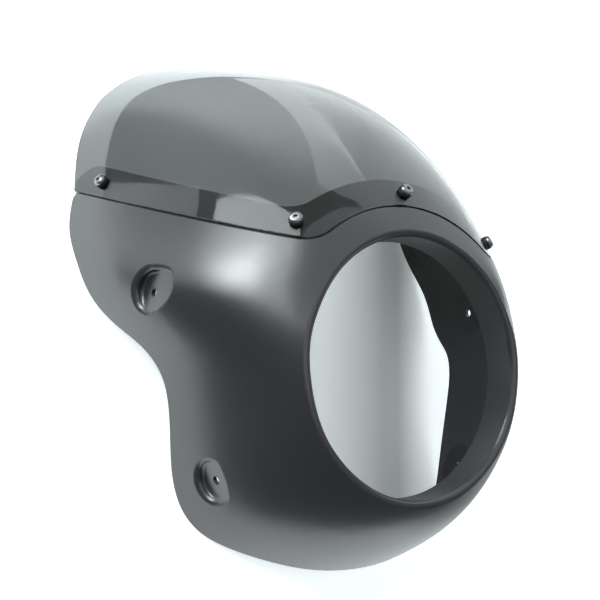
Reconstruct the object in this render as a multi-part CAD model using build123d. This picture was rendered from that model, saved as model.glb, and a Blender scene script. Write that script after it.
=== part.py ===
from build123d import *
from math import cos, radians, sin, sqrt, tan
import os

os.makedirs("parts", exist_ok=True)

# Millimetres. The lamp axis is Y and the lamp looks along -Y; Z is up.
# The origin is the centre of the lamp opening, where its bore meets the lip.

# Lamp opening: the moulded collar is a little narrow, and the bore is turned true
LAMP_BORE_R = 88.0
BORE_SKIN = 0.4
COLLAR_R = LAMP_BORE_R - BORE_SKIN
COLLAR_LENGTH = 22.0
LIP_R = 3.9
WALL = 3.0
CREST_R = COLLAR_R + LIP_R

# Flank sections, from the top (0 degrees) round to the belly (180). Each row is the angle,
# the lean of the flank at the lip, the length of its front leg, the rise past the lip crest
# and the depth of the rear end.
FLANK = (
    (0, 20, 131, 176.5, 210),
    (25, 20, 116, 183.0, 257),
    (50, 20, 69, 132.0, 245),
    (70, 36, 87, 87.5, 190),
    (90, 45, 39, 48.5, 135),
    (112, 42, 25, 51.0, 135),
    (135, 38, 40, 72.0, 135),
    (157, 35, 44, 72.5, 135),
    (180, 36, 42, 71.0, 135),
)
FULLNESS = 0.70

# Joint between cowl and windscreen: an arc round the lamp, a dip, then a straight rising line
NOSE_RING_W = 18.0
JOINT_R = CREST_R + NOSE_RING_W
JOINT_DROP = 13.75
JOINT_FRONT_Z = CREST_R - JOINT_DROP
JOINT_SLOPE = 0.30
JOINT_DIP_R = 36.0
JOINT_GAP = 0.4

# Stepped flange under the windscreen: it widens towards the rear and ends in a round corner
SCREEN_GAP = 0.2
FLANGE_T = 2.5
FLANGE_W = 20.0
FLANGE_START_W = 16.3
FLANGE_SLOPE = 0.333
FLANGE_DIP_R = 36.0
FLANGE_CORNER_R = 21.0
STEP_W = 6.0
STEP_OVERLAP = 1.0

# Rear edges: depth and height of the wing edge and of the windscreen's side edge,
# half width and depth of the windscreen's top edge
WING_EDGE = (
    (215.5, 160), (210, 138), (202, 111), (182, 80), (160.3, 47), (139, 28.5), (121, 14), (111.5, -3),
    (110, -22), (113.5, -55), (114.5, -86), (106, -112), (85.5, -130), (72.5, -150),
)
SCREEN_SIDE_EDGE = ((202.5, 120), (211, 141), (236, 196), (243.5, 231), (248.5, 300))
SCREEN_TOP_EDGE = (
    (-22, 185.5), (0, 175), (22, 185.5), (53, 210.5), (101, 237.5), (130, 243.5), (200, 245.5),
)
CORNER_R = 4.0
EDGE_R = 1.0

# Bracket pockets: half spacing, depth and height of the hole in the floor, and the floor's lean
UPPER_POCKET = (CREST_R + 55.0, 98.0, 52.0)
LOWER_POCKET = (CREST_R + 18.5, 77.5, -74.0)
UPPER_CANT = -6.0
LOWER_CANT = 18.0
FLOOR_TOE = 6.0
POCKET_R = 14.5
POCKET_FLOOR_R = 2.0
POCKET_RIM_R = 4.0
POCKET_RUN = 14.0
POCKET_ROOM = 22.0
BRACKET_HOLE_R = 3.2

# Windscreen screws: one at the top of the joint's arc, a pair on its shoulders and a pair
# near the rear corners
SCREW_INSET = 11.5
SHOULDER_ANGLE = 42.1
SHOULDER_INSET = 17.2
CORNER_INSET = 30.5
SCREW_R = 2.5
SCREW_PLAY = 0.3
SCREW_TIP = 2.0
HEAD_R = 4.75
HEAD_H = 2.75
HEAD_EDGE_R = 2.2
SOCKET_AF = 3.0
SOCKET_DEPTH = 1.6
SCREEN_WASHER_R = 5.0
SCREEN_WASHER_T = 2.2
NUT_AF = 8.0
NUT_H = 4.0
NUT_WASHER_R = 5.0
NUT_WASHER_T = 1.0
THREAD_PLAY = 0.1
SEAT_PLAY = 0.1

FRONT = -50.0
REACH = 400.0
BASE = (Align.CENTER, Align.CENTER, Align.MIN)


def flank_points(lean, leg, rise, rear, depth):
    a = radians(lean)
    start = Vector(CREST_R + LIP_R * sin(a), -LIP_R * cos(a))
    knee = start + Vector(cos(a), sin(a)) * leg
    end = Vector(CREST_R + rise, rear)
    run = (end - knee).normalized()
    n1 = Vector(-sin(a), cos(a))
    n2 = Vector(-run.Y, run.X)
    start = start + n1 * depth
    knee = knee + (n1 + n2) * (depth / (1 + n1.dot(n2)))
    end = end + n2 * depth
    return start, start + (knee - start) * FULLNESS, end + (knee - end) * FULLNESS, end


def placed(point, angle):
    t = radians(angle)
    return Vector(point.X * sin(t), point.Y, point.X * cos(t))


def flank_section(row, top, bottom, with_lip):
    angle, lean, leg, rise, rear = row
    outer = [placed(p, angle) for p in flank_points(lean, leg, rise, rear, top)]
    inner = [placed(p, angle) for p in flank_points(lean, leg, rise, rear, bottom)]
    edges = [
        Edge.make_bezier(*outer),
        Edge.make_line(outer[3], inner[3]),
        Edge.make_bezier(*reversed(inner)),
    ]
    if not with_lip:
        return Wire(edges + [Edge.make_line(inner[0], outer[0])])
    mid = radians(lean) / 2 - radians(45)

    def lip(radius):
        return placed(Vector(CREST_R + radius * sin(mid), -radius * cos(mid)), angle)

    def collar(radius, depth):
        return placed(Vector(radius, depth), angle)

    back = COLLAR_R + bottom
    edges += [
        Edge.make_three_point_arc(inner[0], lip(LIP_R - bottom), collar(back, 0)),
        Edge.make_line(collar(back, 0), collar(back, COLLAR_LENGTH)),
        Edge.make_line(collar(back, COLLAR_LENGTH), collar(COLLAR_R, COLLAR_LENGTH)),
        Edge.make_line(collar(COLLAR_R, COLLAR_LENGTH), collar(COLLAR_R, 0)),
        Edge.make_three_point_arc(collar(COLLAR_R, 0), lip(LIP_R), outer[0]),
    ]
    return Wire(edges)


# The rows run on past the top and the belly as mirror images, so the middle plane is smooth.
def flank_layer(top, bottom, with_lip=False):
    over_top = [(-row[0],) + row[1:] for row in FLANK[1:] if row[0] <= 90]
    under = [(360 - row[0],) + row[1:] for row in FLANK[:-1] if row[0] >= 90]
    rows = over_top[::-1] + list(FLANK) + under[::-1]
    return Solid.make_loft([flank_section(row, top, bottom, with_lip) for row in rows])


def joint_line(depth, offset):
    return JOINT_FRONT_Z + JOINT_SLOPE * depth + offset * sqrt(1 + JOINT_SLOPE ** 2)


def flange_line(depth):
    return joint_line(0, FLANGE_START_W) + FLANGE_SLOPE * depth


def above_edge(front_z, slope, arc_r, dip_r):
    line = [(y, front_z + slope * y) for y in (FRONT, REACH)]
    side = make_face(Polyline(*line, (REACH, REACH), (FRONT, REACH), close=True))
    drum = extrude(Plane.XZ * Circle(arc_r), 2 * REACH, both=True)
    region = extrude(Plane.YZ * side, REACH) - drum
    return fillet(region.edges().filter_by(GeomType.ELLIPSE), dip_r)


def above_joint(offset):
    return above_edge(joint_line(0, offset), JOINT_SLOPE, JOINT_R + offset, JOINT_DIP_R - offset)


def before_side_edge(points):
    first, last = points[0], points[-1]
    up = REACH if first[1] > last[1] else -REACH
    corners = (last, (last[0], -up), (FRONT, -up), (FRONT, up), (first[0], up), first)
    return extrude(Plane.YZ * make_face(Spline(*points) + Polyline(*corners)), REACH)


def before_top_edge(points):
    first, last = points[0], points[-1]
    corners = (last, (last[0], FRONT), (first[0], FRONT), first)
    return extrude(make_face(Spline(*points) + Polyline(*corners)), REACH)


def flange_outline():
    along = Vector(1, FLANGE_SLOPE).normalized()
    down = Vector(along.Y, -along.X)
    end_y = SCREEN_SIDE_EDGE[1][0]
    end = Vector(end_y, flange_line(end_y))
    start = end - along * FLANGE_CORNER_R
    tail = end + down * FLANGE_CORNER_R
    middle = start + down * FLANGE_CORNER_R + (along - down).normalized() * FLANGE_CORNER_R
    foot = tail + down * REACH
    corners = (tail, foot, (FRONT, foot.Y), (FRONT, REACH), (start.X, REACH), start)
    outline = make_face(ThreePointArc(start, middle, tail) + Polyline(*corners))
    return extrude(Plane.YZ * outline, REACH) & before_side_edge(SCREEN_SIDE_EDGE)


def rounded_corner(region):
    corner = (REACH / 2,) + SCREEN_SIDE_EDGE[1]
    edge = region.edges().sort_by_distance(corner)[0]
    return fillet(edge, CORNER_R)


def eased(half):
    cut = half.faces().filter_by(GeomType.EXTRUSION)
    rims = [e for f in cut for e in f.edges() if e.length > 2 * CORNER_R]
    return fillet(rims, EDGE_R)


def floor_plane(place, cant):
    toe = tan(radians(FLOOR_TOE))
    return Plane(place, x_dir=(toe, 1, 0), z_dir=(1, -toe, -tan(radians(cant))))


def pocket(floor, radius, start, end):
    outline = Pos(-POCKET_RUN / 2, 0) * SlotCenterToCenter(POCKET_RUN, 2 * radius)
    return extrude(floor.offset(start) * outline, end - start)


def both_sides(half):
    return half + mirror(half, about=Plane.YZ)


right_half = Box(REACH, 2 * REACH, 2 * REACH, align=(Align.MIN, Align.CENTER, Align.CENTER))
bore = extrude(Plane.XZ * Circle(LAMP_BORE_R), REACH, both=True)
full_wall = flank_layer(0, WALL, True)
wall = (full_wall & right_half) - bore
seat_depth = WALL + SCREEN_GAP
inside_depth = seat_depth + FLANGE_T

# Cowl: wall below the joint, then the stepped flange under the windscreen
joint_edge = above_joint(-JOINT_GAP / 2)
cowl = eased(wall & rounded_corner(before_side_edge(WING_EDGE) - joint_edge))
seat = flank_layer(WALL - STEP_OVERLAP, inside_depth) & right_half & above_joint(-STEP_W) & flange_outline()
seat = seat - above_edge(flange_line(0), FLANGE_SLOPE, JOINT_R + FLANGE_W, FLANGE_DIP_R)
seat = seat - (flank_layer(-STEP_OVERLAP, seat_depth) & joint_edge)
cowl = cowl + seat

# Bracket pockets
room = flank_layer(STEP_OVERLAP, POCKET_ROOM) & right_half
for place, cant in ((UPPER_POCKET, UPPER_CANT), (LOWER_POCKET, LOWER_CANT)):
    floor = floor_plane(place, cant)
    cowl = cowl + (pocket(floor, POCKET_R + WALL, -WALL, POCKET_ROOM) & room)
    hollow = pocket(floor, POCKET_R, 0, POCKET_ROOM)
    hollow = fillet(hollow.faces().sort_by(Axis.X)[0].edges(), POCKET_FLOOR_R)
    sunk = cowl - hollow
    edges = new_edges(cowl, hollow, combined=sunk)
    rim = [e for e in edges if floor.to_local_coords(e @ 0.5).Z > POCKET_FLOOR_R]
    cowl = fillet(rim, POCKET_RIM_R) - floor * Cylinder(BRACKET_HOLE_R, POCKET_ROOM)

# Windscreen
screen = wall & rounded_corner(before_side_edge(SCREEN_SIDE_EDGE) & above_joint(JOINT_GAP / 2))
screen = eased(screen & before_top_edge(SCREEN_TOP_EDGE))
cowl = both_sides(cowl)
screen = both_sides(screen)

# Screws, washers and nuts, each square to the surface where it sits
shoulder_r = JOINT_R + SHOULDER_INSET
shoulder = Vector(shoulder_r * sin(radians(SHOULDER_ANGLE)), FRONT, shoulder_r * cos(radians(SHOULDER_ANGLE)))
corner_y = SCREEN_SIDE_EDGE[1][0] - CORNER_INSET
rays = (
    Axis((0, FRONT, JOINT_R + SCREW_INSET), (0, 1, 0)),
    Axis(shoulder, (0, 1, 0)),
    Axis((REACH, corner_y, joint_line(corner_y, SCREW_INSET)), (-1, 0, 0)),
)
frames = []
for ray in rays:
    point, normal = full_wall.find_intersection_points(ray)[0]
    sides = (1, -1) if point.X > WALL else (1,)
    for side in sides:
        square = Vector(side * normal.X, normal.Y, normal.Z)
        frames.append(Plane(Vector(side * point.X, point.Y, point.Z), z_dir=square))
head_face = SCREEN_WASHER_T + SEAT_PLAY
nut_face = -(inside_depth + NUT_WASHER_T + SEAT_PLAY)
shank_end = nut_face - NUT_H - SCREW_TIP
head = Pos(0, 0, head_face) * Cylinder(HEAD_R, HEAD_H, align=BASE)
head = fillet(head.edges().sort_by(Axis.Z)[-1], HEAD_EDGE_R)
shank = Pos(0, 0, shank_end) * Cylinder(SCREW_R, head_face - shank_end, align=BASE)
hexagon = RegularPolygon(SOCKET_AF / 2, 6, major_radius=False)
socket = Pos(0, 0, head_face + HEAD_H - SOCKET_DEPTH) * extrude(hexagon, HEAD_H)
screw = head + shank - socket
nut = Pos(0, 0, nut_face - NUT_H) * extrude(RegularPolygon(NUT_AF / 2, 6, major_radius=False), NUT_H)
nut = nut - Pos(0, 0, shank_end) * Cylinder(SCREW_R + THREAD_PLAY, -shank_end, align=BASE)
clearance = Pos(0, 0, shank_end) * Cylinder(SCREW_R + SCREW_PLAY, 2 * -shank_end, align=BASE)
ring = Cylinder(SCREEN_WASHER_R, 2 * SCREEN_WASHER_T) - clearance
inner_ring = Pos(0, 0, -inside_depth) * Cylinder(NUT_WASHER_R, 2 * NUT_WASHER_T) - clearance
for frame in frames:
    cowl = cowl - frame * clearance
    screen = screen - frame * clearance
screws = [frame * screw for frame in frames]
nuts = [frame * nut for frame in frames]

# The washers follow the curved faces that they lie on, a little clear of them
washers = [Pos(frame.z_dir * SEAT_PLAY) * (frame * ring - screen) for frame in frames]
nut_washers = [Pos(frame.z_dir * -SEAT_PLAY) * (frame * inner_ring - cowl) for frame in frames]

export_step(cowl, "parts/cowl_shell.step")
export_step(screen, "parts/windscreen.step")
export_step(Compound(children=screws), "parts/screen_screws.step")
export_step(Compound(children=washers), "parts/screen_washers.step")
export_step(Compound(children=nuts), "parts/screen_nuts.step")
export_step(Compound(children=nut_washers), "parts/nut_washers.step")
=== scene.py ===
import math

import bpy
from mathutils import Matrix, Vector

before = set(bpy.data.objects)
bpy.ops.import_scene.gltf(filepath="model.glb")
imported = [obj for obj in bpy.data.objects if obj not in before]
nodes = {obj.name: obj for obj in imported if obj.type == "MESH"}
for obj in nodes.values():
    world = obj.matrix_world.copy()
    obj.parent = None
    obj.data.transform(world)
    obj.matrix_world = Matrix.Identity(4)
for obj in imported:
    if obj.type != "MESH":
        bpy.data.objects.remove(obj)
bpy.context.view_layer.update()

print("frame loaded:", ", ".join(sorted(nodes)))


def toLinear(hexColour):
    parts = [int(hexColour[i:i + 2], 16) / 255 for i in (1, 3, 5)]
    return [p / 12.92 if p <= 0.04045 else ((p + 0.055) / 1.055) ** 2.4 for p in parts] + [1.0]


def addNode(material, kind, settings=None, sockets=None):
    # settings are the node's own fields, sockets are numbers or (node, output) links
    tree = material.node_tree
    node = tree.nodes.new(kind)
    for name, value in (settings or {}).items():
        setattr(node, name, value)
    for name, value in (sockets or {}).items():
        if isinstance(value, tuple) and hasattr(value[0], "outputs"):
            tree.links.new(value[0].outputs[value[1]], node.inputs[name])
        else:
            node.inputs[name].default_value = value
    return node


def ramp(material, source, span, levels):
    # the source's span becomes the levels, held at both ends
    return addNode(material, "ShaderNodeMapRange", None, {
        "Value": source, "From Min": span[0], "From Max": span[1], "To Min": levels[0], "To Max": levels[1]})


def combine(material, operation, *values):
    return addNode(material, "ShaderNodeMath", {"operation": operation}, dict(enumerate(values)))


def newMaterial(name):
    material = bpy.data.materials.new(name)
    material.use_nodes = True
    material.node_tree.nodes.clear()
    return material


def objectNoise(material, grainMm, detail):
    # noise with grains of a real size, fixed to the object
    place = addNode(material, "ShaderNodeTexCoord")
    return addNode(material, "ShaderNodeTexNoise", None, {
        "Vector": (place, "Object"), "Scale": 1000 / grainMm, "Detail": detail})


def surface(material, look, extras):
    # one principled surface, with roughness that wanders between the look's two values
    noise = objectNoise(material, look["patchMm"], look["patchDetail"])
    uneven = ramp(material, (noise, "Fac"), look["noiseSpan"], look["roughness"])
    sockets = {"Base Color": toLinear(look["colour"]), "Roughness": (uneven, "Result")}
    shader = addNode(material, "ShaderNodeBsdfPrincipled", None, {**sockets, **extras})
    addNode(material, "ShaderNodeOutputMaterial", None, {"Surface": (shader, "BSDF")})


def dress(node, material):
    mesh = nodes[node].data
    mesh.materials.clear()
    mesh.materials.append(material)


# moulded ABS with a satin black coat: dark, even, with a soft wide shine
coatLook = {
    "colour": "#242526",
    "roughness": (0.28, 0.32),
    "patchMm": 60.0,
    "patchDetail": 3.0,
    "noiseSpan": (0.3, 0.7),
    "specular": 1.0,
    "peelMm": 0.9,       # orange peel of the coat, drawn coarser than real so that it shows
    "peelDetail": 2.0,
    "peelDepthMm": 0.02,
    "peelStrength": 0.06,
}
blackCoat = newMaterial("satinBlackAbs")
peel = objectNoise(blackCoat, coatLook["peelMm"], coatLook["peelDetail"])
skin = addNode(blackCoat, "ShaderNodeBump", None, {
    "Height": (peel, "Fac"),
    "Strength": coatLook["peelStrength"],
    "Distance": coatLook["peelDepthMm"] / 1000})
surface(blackCoat, coatLook, {"Specular IOR Level": coatLook["specular"], "Normal": (skin, "Normal")})
dress("cowl_shell", blackCoat)

# inside of the shell: bare moulded plastic, matte black
bareLook = {
    "colour": "#323334",
    "roughness": (0.39, 0.51),
    "patchMm": 1.2,
    "patchDetail": 2.0,
    "noiseSpan": (0.3, 0.7),
    "specular": 0.5,
    "middle": (0, 0.16, 0.03),   # a place inside the cowl, which the bare faces look towards
    "behind": 0.0238,            # rear end of the lamp collar, which has the coat
}
bareAbs = newMaterial("bareAbs")
surface(bareAbs, bareLook, {"Specular IOR Level": bareLook["specular"]})
shell = nodes["cowl_shell"].data
shell.materials.append(bareAbs)
middle = Vector(bareLook["middle"])
for face in shell.polygons:
    if face.center.y > bareLook["behind"] and face.normal.dot(face.center - middle) < 0:
        face.material_index = 1
print("cowl dressed")

# smoked cast acrylic: clear to the eye, glossy, neutral grey that takes two thirds of the light
acrylicLook = {
    "colour": "#9fa3a2",
    "roughness": (0.015, 0.065),
    "patchMm": 35.0,
    "patchDetail": 3.0,
    "noiseSpan": (0.35, 0.7),
    "ior": 1.49,
}
smokedAcrylic = newMaterial("smokedAcrylic")
surface(smokedAcrylic, acrylicLook, {"IOR": acrylicLook["ior"], "Transmission Weight": 1.0})
dress("windscreen", smokedAcrylic)
print("windscreen dressed")

# plain steel screws, nuts and inner washers: grey metal with a dull shine
steelLook = {
    "colour": "#8f9193",
    "roughness": (0.2, 0.34),
    "patchMm": 1.5,
    "patchDetail": 3.0,
    "noiseSpan": (0.3, 0.7),
}
plainSteel = newMaterial("plainSteel")
surface(plainSteel, steelLook, {"Metallic": 1.0})
for node in ("screen_screws", "screen_nuts", "nut_washers"):
    dress(node, plainSteel)

# black rubber washers: dull, with a fine bloom
rubberLook = {
    "colour": "#1f2021",
    "roughness": (0.47, 0.63),
    "patchMm": 0.8,
    "patchDetail": 2.0,
    "noiseSpan": (0.3, 0.7),
}
blackRubber = newMaterial("blackRubber")
surface(blackRubber, rubberLook, {})
dress("screen_washers", blackRubber)
print("fasteners dressed")

# round white table top: the cowl lies on its back, so the table leans behind it
table = {"lean": 23.1, "depth": 0.1420, "x": 0.23, "north": 0.17, "radius": 0.465, "sides": 96}
lean = math.radians(table["lean"])
tableUp = Vector((0, -math.cos(lean), math.sin(lean)))
tableNorth = Vector((0, math.sin(lean), math.cos(lean)))
tableEast = Vector((1, 0, 0))
bpy.ops.object.select_all(action="DESELECT")
bpy.ops.mesh.primitive_circle_add(
    vertices=table["sides"], radius=table["radius"], fill_type="NGON", location=(0, 0, 0))
tableTop = bpy.context.object
tableTop.name = "tableTop"
tableMiddle = tableEast * table["x"] + tableNorth * table["north"] - tableUp * table["depth"]
tableTurn = Matrix((tuple(tableEast), tuple(tableNorth), tuple(tableUp))).transposed()
tableTop.matrix_world = Matrix.Translation(tableMiddle) @ tableTurn.to_4x4()

tableWhite = newMaterial("whiteTable")
path = addNode(tableWhite, "ShaderNodeLightPath")
place = addNode(tableWhite, "ShaderNodeTexCoord")

# painted shade: the ground's glow lies round the cowl, and fades out in an oval under it, standing in for
# the shade under the cowl
under = {"x": 0.04, "north": 0.13, "halfX": 0.17, "halfNorth": 0.22, "fade": (0.86, 0.98)}
ovalX = (table["x"] - under["x"]) / under["halfX"]
ovalNorth = (table["north"] - under["north"]) / under["halfNorth"]
spot = addNode(tableWhite, "ShaderNodeMapping", None, {
    "Vector": (place, "Object"),
    "Scale": (1 / under["halfX"], 1 / under["halfNorth"], 0),
    "Location": (ovalX, ovalNorth, 0)})
away = addNode(tableWhite, "ShaderNodeVectorMath", {"operation": "LENGTH"}, {0: (spot, "Vector")})
clear = ramp(tableWhite, (away, "Value"), under["fade"], (0, 1))

# painted light and shade in reflections: the ground's glow is full to the west, weak in the cowl's lee as a
# painted shadow, and full again further east, in half widths
paintedShadeInReflections = {"lee": (0.3, 1.0), "leeGlow": (1.0, 0.1), "far": (1.8, 2.4), "farGlow": (0.0, 0.9)}
apart = addNode(tableWhite, "ShaderNodeSeparateXYZ", None, {"Vector": (spot, "Vector")})
lee = ramp(tableWhite, (apart, "X"), paintedShadeInReflections["lee"], paintedShadeInReflections["leeGlow"])
far = ramp(tableWhite, (apart, "X"), paintedShadeInReflections["far"], paintedShadeInReflections["farGlow"])
paintedReflectionGlow = combine(tableWhite, "ADD", (lee, "Result"), (far, "Result"))
# rays through the windscreen count as glossy too, and get none of it
mirrored = combine(tableWhite, "SUBTRACT", (path, "Is Glossy Ray"), (path, "Is Transmission Ray"))
around = combine(tableWhite, "MULTIPLY", (mirrored, "Value"), (clear, "Result"))

# painted shadow: to the camera the glow is darkest in a band under the cowl, standing in for the cowl's
# shadow, and brighter to both sides of the band
band = {
    "x": 0.13,
    "north": 0.16,
    "turn": math.radians(19),
    "west": (0.0, -0.06),
    "westGlow": (0.09, 0.36),
    "east": (0.016, 0.052),
    "eastGlow": (0.0, 0.42),
    "openGlow": 0.7,
}
bandAcross = (math.cos(band["turn"]), -math.sin(band["turn"]), 0)
bandStart = bandAcross[0] * (table["x"] - band["x"]) + bandAcross[1] * (table["north"] - band["north"])
over = addNode(tableWhite, "ShaderNodeVectorMath", {"operation": "DOT_PRODUCT"}, {
    0: (place, "Object"), 1: bandAcross})
west = ramp(tableWhite, (over, "Value"), [edge - bandStart for edge in band["west"]], band["westGlow"])
east = ramp(tableWhite, (over, "Value"), [edge - bandStart for edge in band["east"]], band["eastGlow"])
inner = combine(tableWhite, "ADD", (west, "Result"), (east, "Result"))
outer = combine(tableWhite, "MULTIPLY", (clear, "Result"), band["openGlow"])
paintedShadowGlow = combine(tableWhite, "MAXIMUM", (inner, "Value"), (outer, "Value"))
plain = combine(tableWhite, "MULTIPLY", (path, "Is Camera Ray"), (paintedShadowGlow, "Value"))

# white paint with that glow, which carries the painted shade and painted shadows, and nothing when it is
# seen from behind
tableLook = {"paint": (0.88, 0.88, 0.88, 1), "glow": (0.9, 0.98, 1, 1)}
glowWithPaintedShade = combine(tableWhite, "MULTIPLY_ADD", (around, "Value"), (paintedReflectionGlow, "Value"), (plain, "Value"))
glow = addNode(tableWhite, "ShaderNodeEmission", None, {
    "Color": tableLook["glow"], "Strength": (glowWithPaintedShade, "Value")})
paint = addNode(tableWhite, "ShaderNodeBsdfDiffuse", None, {"Color": tableLook["paint"]})
bright = addNode(tableWhite, "ShaderNodeAddShader", None, {0: (glow, "Emission"), 1: (paint, "BSDF")})
nothing = addNode(tableWhite, "ShaderNodeBsdfTransparent")
side = addNode(tableWhite, "ShaderNodeNewGeometry")
behind = addNode(tableWhite, "ShaderNodeMixShader", None, {
    0: (side, "Backfacing"), 1: (bright, "Shader"), 2: (nothing, "BSDF")})
addNode(tableWhite, "ShaderNodeOutputMaterial", None, {"Surface": (behind, "Shader")})
tableTop.data.materials.append(tableWhite)

# room: white where the camera looks past the table, dim for light and reflections
roomLook = {"white": 1.0, "dim": 0.23, "dimColour": (0.9, 0.95, 1, 1)}
world = bpy.data.worlds.new("room")
bpy.context.scene.world = world
world.use_nodes = True
world.node_tree.nodes.clear()
path = addNode(world, "ShaderNodeLightPath")
white = addNode(world, "ShaderNodeBackground", None, {"Color": (1, 1, 1, 1), "Strength": roomLook["white"]})
dim = addNode(world, "ShaderNodeBackground", None, {
    "Color": roomLook["dimColour"], "Strength": roomLook["dim"]})
seen = combine(world, "MAXIMUM", (path, "Is Camera Ray"), (path, "Is Transmission Ray"))
room = addNode(world, "ShaderNodeMixShader", None, {
    0: (seen, "Value"), 1: (dim, "Background"), 2: (white, "Background")})
addNode(world, "ShaderNodeOutputWorld", None, {"Surface": (room, "Shader")})

# soft boxes round the cowl: azimuth from the table's north and elevation over its top in degrees,
# distance, width and height in metres, radiance
lampLook = {"colour": (0.92, 0.98, 1.0), "aim": (0, 0.1, 0.05)}
softboxes = {
    "keyBox": (-58, 29, 1.2, 0.80, 0.92, 4.5),
    "keyCore": (-60, 24, 1.19, 0.36, 0.36, 11.0),
    "lowPanel": (-54, -9, 0.9, 0.46, 0.40, 1.2),
    "rightPanel": (105, 8, 1.1, 0.7, 0.5, 1.0),
    "sidePanel": (42, 20, 1.0, 1.3, 1.3, 1.0),
    "ceiling": (0, 90, 1.6, 2.2, 2.2, 0.7),
}


def softbox(name, azimuth, elevation, distance, width, height, radiance):
    a, e = math.radians(azimuth), math.radians(elevation)
    way = (tableEast * math.sin(a) + tableNorth * math.cos(a)) * math.cos(e) + tableUp * math.sin(e)
    across = (tableEast * math.cos(a) - tableNorth * math.sin(a)).normalized()
    lamp = bpy.data.lights.new(name, "AREA")
    lamp.shape = "RECTANGLE"
    lamp.color = lampLook["colour"]
    lamp.size = width
    lamp.size_y = height
    lamp.energy = radiance * math.pi * width * height
    box = bpy.data.objects.new(name, lamp)
    bpy.context.scene.collection.objects.link(box)
    turned = Matrix((tuple(across), tuple(way.cross(across)), tuple(way))).transposed()
    box.matrix_world = Matrix.Translation(Vector(lampLook["aim"]) + way * distance) @ turned.to_4x4()
    box.visible_camera = False


for name, setting in softboxes.items():
    softbox(name, *setting)
print("stage and lights placed")

# the photo's camera, solved from the lip, the holes and the outline
photoCamera = {
    "place": (-0.429, -0.495, -0.027),
    "azimuth": -34.1,
    "elevation": -6.4,
    "roll": -0.5,
    "lens": 58.08,
    "sensor": 36,
    "clip": 0.01,
}
a, e = math.radians(photoCamera["azimuth"]), math.radians(photoCamera["elevation"])
back = Vector((math.sin(a) * math.cos(e), -math.cos(a) * math.cos(e), math.sin(e)))
level = (-back).to_track_quat("-Z", "Y").to_matrix()
rolled = Matrix.Rotation(math.radians(photoCamera["roll"]), 3, back) @ level
lens = bpy.data.cameras.new("photoCamera")
lens.lens = photoCamera["lens"]
lens.sensor_width = photoCamera["sensor"]
lens.clip_start = photoCamera["clip"]
camera = bpy.data.objects.new("photoCamera", lens)
bpy.context.scene.collection.objects.link(camera)
camera.matrix_world = Matrix.Translation(photoCamera["place"]) @ rolled.to_4x4()
bpy.context.scene.camera = camera
bpy.context.scene.view_settings.view_transform = "Standard"
